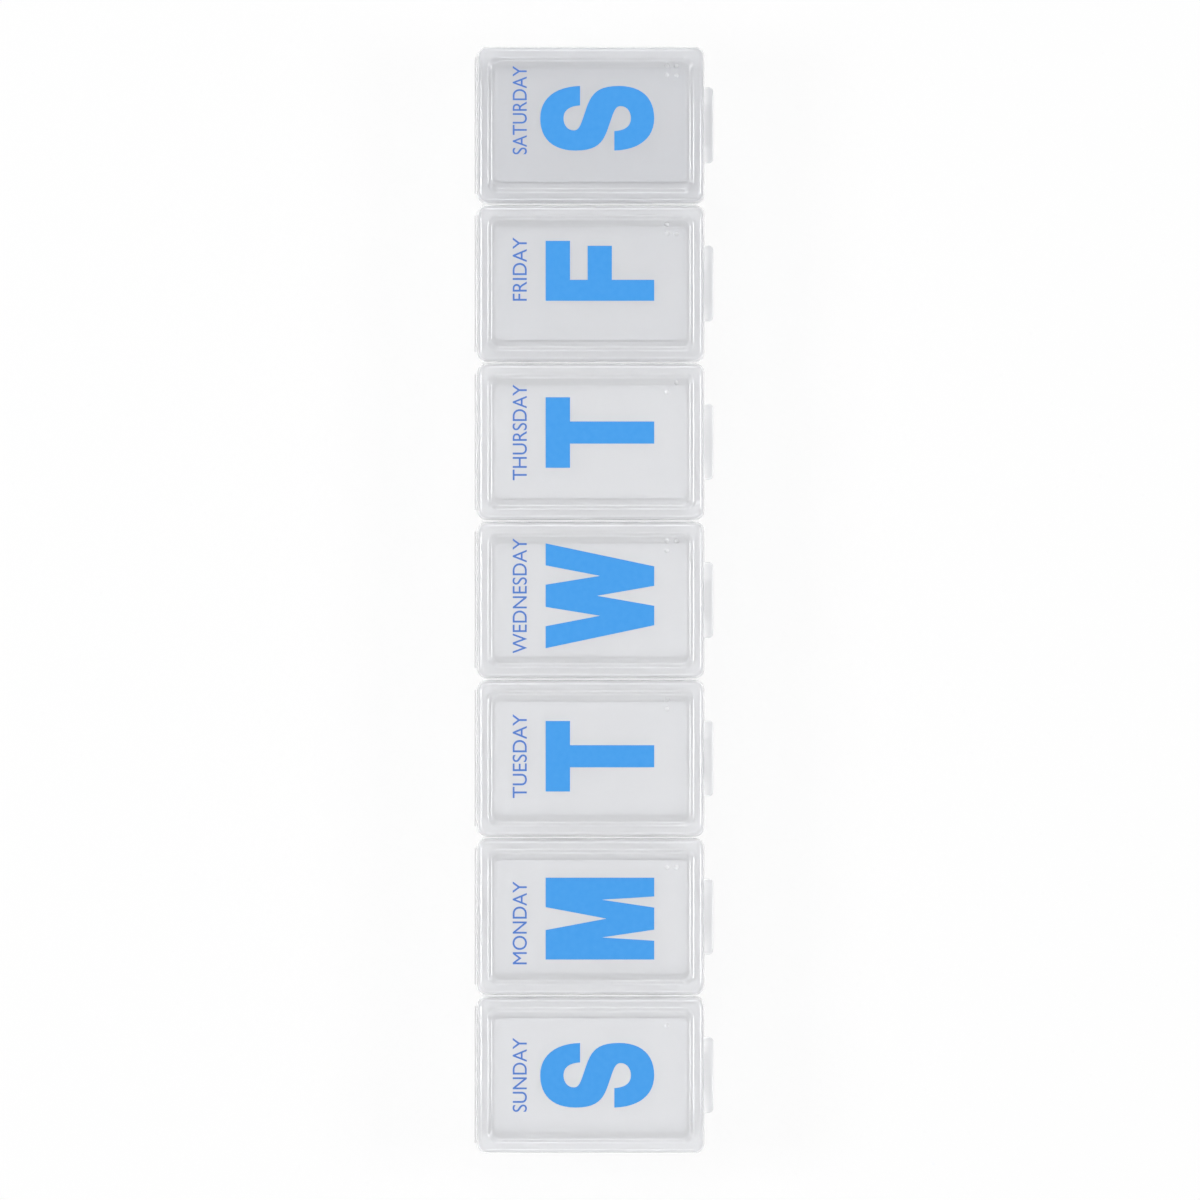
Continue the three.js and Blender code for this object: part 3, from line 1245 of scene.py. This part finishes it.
# Half of the round initial's outline as curves, two handles and an end each. The other half is the same,
# turned half a turn about the middle.
ROUND_LETTER_SHARES = (
    (0.47, 0.37, 0.29, 0.5, 0, 0.5),
    (-0.3, 0.5, -0.48, 0.39, -0.48, 0.19),
    (-0.48, -0.04, -0.3, -0.065, -0.05, -0.115),
    (0.1, -0.145, 0.18, -0.16, 0.18, -0.205),
    (0.18, -0.26, 0.1, -0.295, 0, -0.295),
    (-0.11, -0.295, -0.18, -0.25, -0.19, -0.15),
)
ROUND_LETTER_START_SHARE = Vector((0.48, 0.15))
ROUND_LETTER = "S"


@dataclass
class LidPrint:
    """The print on a lid: its large initial and the small name of the day beside it."""

    lid: Lid
    film: float = 0.02 * MM
    lift: float = 0.004 * MM
    height_share: float = 0.549
    round_share: float = 1.05
    back_share: float = -0.046
    name_height: float = 2.8 * MM
    name_back: float = 12.5 * MM
    font_cap_share: float = 0.7
    weld: float = 0.001 * MM
    curve_steps: int = 12

    def straight_outline(self, letter: str) -> list[Vector]:
        """The outline of a straight-sided initial.

        Args:
            letter: the initial.

        Returns:
            Its corners, in shares of its width and height.
        """
        if letter in WHOLE_LETTER_SHARES:
            return [Vector(p) for p in WHOLE_LETTER_SHARES[letter]]
        half = HALF_LETTER_SHARES[letter]
        mirrored = [(-across, up) for across, up in half if across > 0]
        return [Vector(p) for p in (*half, *reversed(mirrored))]

    def round_outline(self) -> list[Vector]:
        """The outline of the round initial.

        Returns:
            Its points, in shares of its width and height.
        """
        points = [ROUND_LETTER_START_SHARE]
        for turn in (1, -1):
            for curve in ROUND_LETTER_SHARES:
                start = points[-1]
                first, second, end = (turn * Vector(p) for p in zip(curve[::2], curve[1::2]))
                for step in range(1, self.curve_steps + 1):
                    t = step / self.curve_steps
                    k = 1 - t
                    points.append(
                        k ** 3 * start + 3 * k * k * t * first + 3 * k * t * t * second + t ** 3 * end
                    )
            points.append(-turn * ROUND_LETTER_START_SHARE)
        return points[:-1]

    def initial(self, day: Day) -> bmesh.types.BMesh:
        """The large initial as a thin film on the panel, on one baseline with the other days'.

        Args:
            day: the day that it stands for.

        Returns:
            The mesh under construction.
        """
        marking = day.value
        is_round = marking.initial == ROUND_LETTER
        shares = self.round_outline() if is_round else self.straight_outline(marking.initial)
        straight_height = self.height_share * self.lid.panel_width
        height = straight_height * (self.round_share if is_round else 1)
        width = marking.width_share * self.lid.panel_length
        back = self.back_share * self.lid.panel_width + (height - straight_height) / 2
        middle = Vector((
            day.middle_x + marking.drift_share * self.lid.panel_length,
            self.lid.moulding.middle_y + back,
        ))
        outline = [middle + Vector((p.x * width, p.y * height)) for p in shares]
        low = self.lid.panel_top + self.lift
        return slab(outline, low, low + self.film)

    def name(self, day: Day) -> bpy.types.Mesh:
        """The small name of the day as a thin film on the panel.

        Args:
            day: the day.

        Returns:
            The mesh, in the second of the print's inks.
        """
        marking = day.value
        text = bpy.data.curves.new("day_name", "FONT")
        text.body = day.name
        text.align_x = "CENTER"
        text.size = self.name_height / self.font_cap_share
        text.extrude = self.film / 2
        holder = added("day_name", text)
        mesh = evaluated_mesh(holder)
        drift = (marking.drift_share + marking.name_drift_share) * self.lid.panel_length
        condensing = marking.name_width_share * self.lid.panel_length / holder.dimensions.x
        place = Vector((
            day.middle_x + drift,
            self.lid.moulding.middle_y + self.name_back,
            self.lid.panel_top + self.lift + self.film / 2,
        ))
        mesh.transform(Matrix.Translation(place) @ Matrix.Diagonal((condensing, 1, 1, 1)))
        discard(holder)
        made = bmesh.new()
        made.from_mesh(mesh)
        bmesh.ops.remove_doubles(made, verts=made.verts, dist=self.weld)
        for face in made.faces:
            face.material_index = 1
        made.to_mesh(mesh)
        made.free()
        return mesh

    def build(self, day: Day, finishes: Finishes) -> bpy.types.Object:
        """Makes and dresses one lid's print.

        Args:
            day: the day that it names.
            finishes: the organizer's materials.

        Returns:
            The print, riding on the lid's body.
        """
        made = self.initial(day)
        made.from_mesh(self.name(day))
        printed = linked(f"print_{day.key}", made)
        printed.data.materials.append(finishes.initial_ink)
        printed.data.materials.append(finishes.name_ink)
        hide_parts(f"initial_{day.key}")
        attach(printed, day.lid_body)
        log.info("print of %s: %d faces", day.key, len(printed.data.polygons))
        return printed


@dataclass(frozen=True)
class Lamp:
    """A soft square lamp that faces the organizer, with its side in metres and its power in watts."""

    name: str
    place: tuple[float, float, float]
    side: float
    power: float

    def hang(self) -> None:
        """Adds the lamp to the scene."""
        light = bpy.data.lights.new(self.name, "AREA")
        light.size = self.side
        light.energy = self.power
        lamp = added(self.name, light)
        lamp.location = self.place
        lamp.rotation_euler = (-lamp.location).to_track_quat("-Z", "Y").to_euler()


# Beside the hinges, beside the tabs, and past either end of the row.
LAMPS = (
    Lamp("hinge_side_softbox", (0, 0.75, 0.85), side=0.32, power=4.6),
    Lamp("tab_side_softbox", (0, -0.75, 0.85), side=0.32, power=3.8),
    Lamp("week_end_softbox", (1.3, 0.1, 1.3), side=0.7, power=7.5),
    Lamp("week_start_softbox", (-1.3, 0.1, 1.3), side=0.6, power=5.0),
)


def background_seen(wiring: Wiring) -> bpy.types.NodeSocket:
    """Picks out the rays that show the background: from the camera, a gloss or through plastic.

    Args:
        wiring: the tree to add to.

    Returns:
        One for such a ray, or else nought.
    """
    path = wiring.node("ShaderNodeLightPath").outputs
    seen = path["Is Camera Ray"]
    for other in ("Is Glossy Ray", "Is Transmission Ray"):
        seen = wiring.math("MAXIMUM", seen, path[other])
    return seen


@dataclass
class Studio:
    """The plain pale floor, the even light, the lamps and the long lens straight above."""

    view_width: float = 234 * MM
    camera_distance: float = 1.8
    view_middle_y: float = -1.19 * MM
    floor_size: float = 6.0
    floor_colour: tuple[float, float, float, float] = (0.96, 0.96, 0.96, 1.0)
    world_strength: float = 0.25
    floor_glow_share: float = 0.89

    def floor(self) -> None:
        """Makes the floor: white to the camera, with a soft shadow."""
        made = bmesh.new()
        bmesh.ops.create_grid(made, x_segments=1, y_segments=1, size=self.floor_size / 2)
        floor = new_object("floor", made)
        material = bpy.data.materials.new("pale_floor")
        material.use_nodes = True
        material.node_tree.nodes.clear()
        wiring = Wiring(material.node_tree)
        matt = wiring.node("ShaderNodeBsdfDiffuse", {"Color": self.floor_colour})
        glow = wiring.node("ShaderNodeEmission", {"Color": WHITE})
        mix = wiring.node("ShaderNodeMixShader", {
            "Fac": wiring.math("MULTIPLY", background_seen(wiring), self.floor_glow_share),
        })
        wiring.feed(mix.inputs[1], matt.outputs["BSDF"])
        wiring.feed(mix.inputs[2], glow.outputs["Emission"])
        wiring.node("ShaderNodeOutputMaterial", {"Surface": mix.outputs["Shader"]})
        floor.data.materials.append(material)

    def world(self) -> None:
        """Makes the even light all round, which shows as white."""
        world = bpy.data.worlds.new("studio")
        world.use_nodes = True
        wiring = Wiring(world.node_tree)
        wiring.fill(world.node_tree.nodes["Background"], {
            "Color": WHITE,
            "Strength": wiring.math("MAXIMUM", background_seen(wiring), self.world_strength),
        })
        bpy.context.scene.world = world

    def camera(self, top: float) -> None:
        """Makes the camera, with the end of the week at the top of the picture.

        Args:
            top: the height of the lids, at which the view has its width.
        """
        data = bpy.data.cameras.new("camera")
        data.lens = data.sensor_width * self.camera_distance / self.view_width
        camera = added("camera", data)
        camera.location = (0, self.view_middle_y, top + self.camera_distance)
        camera.rotation_euler = (0, 0, -math.pi / 2)
        bpy.context.scene.camera = camera

    def build(self, top: float) -> None:
        """Makes everything round the organizer.

        Args:
            top: the height of the lids.
        """
        self.floor()
        self.world()
        for lamp in LAMPS:
            lamp.hang()
        self.camera(top)
        bpy.context.scene.view_settings.view_transform = "Standard"


def main() -> None:
    """Builds the organizer and the studio."""
    logging.basicConfig(level=logging.INFO, format="%(name)s: %(message)s")
    moulding = Moulding()
    finishes = Finishes()
    Tray(moulding).build(finishes)
    lid = Lid(moulding)
    blank = lid.blank()
    web = HingeWeb(moulding)
    marks = LidPrint(lid)
    for day in Day:
        lid.build(day, blank, finishes)
        web.build(day, finishes)
        marks.build(day, finishes)
    discard(blank)
    Studio().build(moulding.lid_top)


if __name__ == "__main__":
    main()
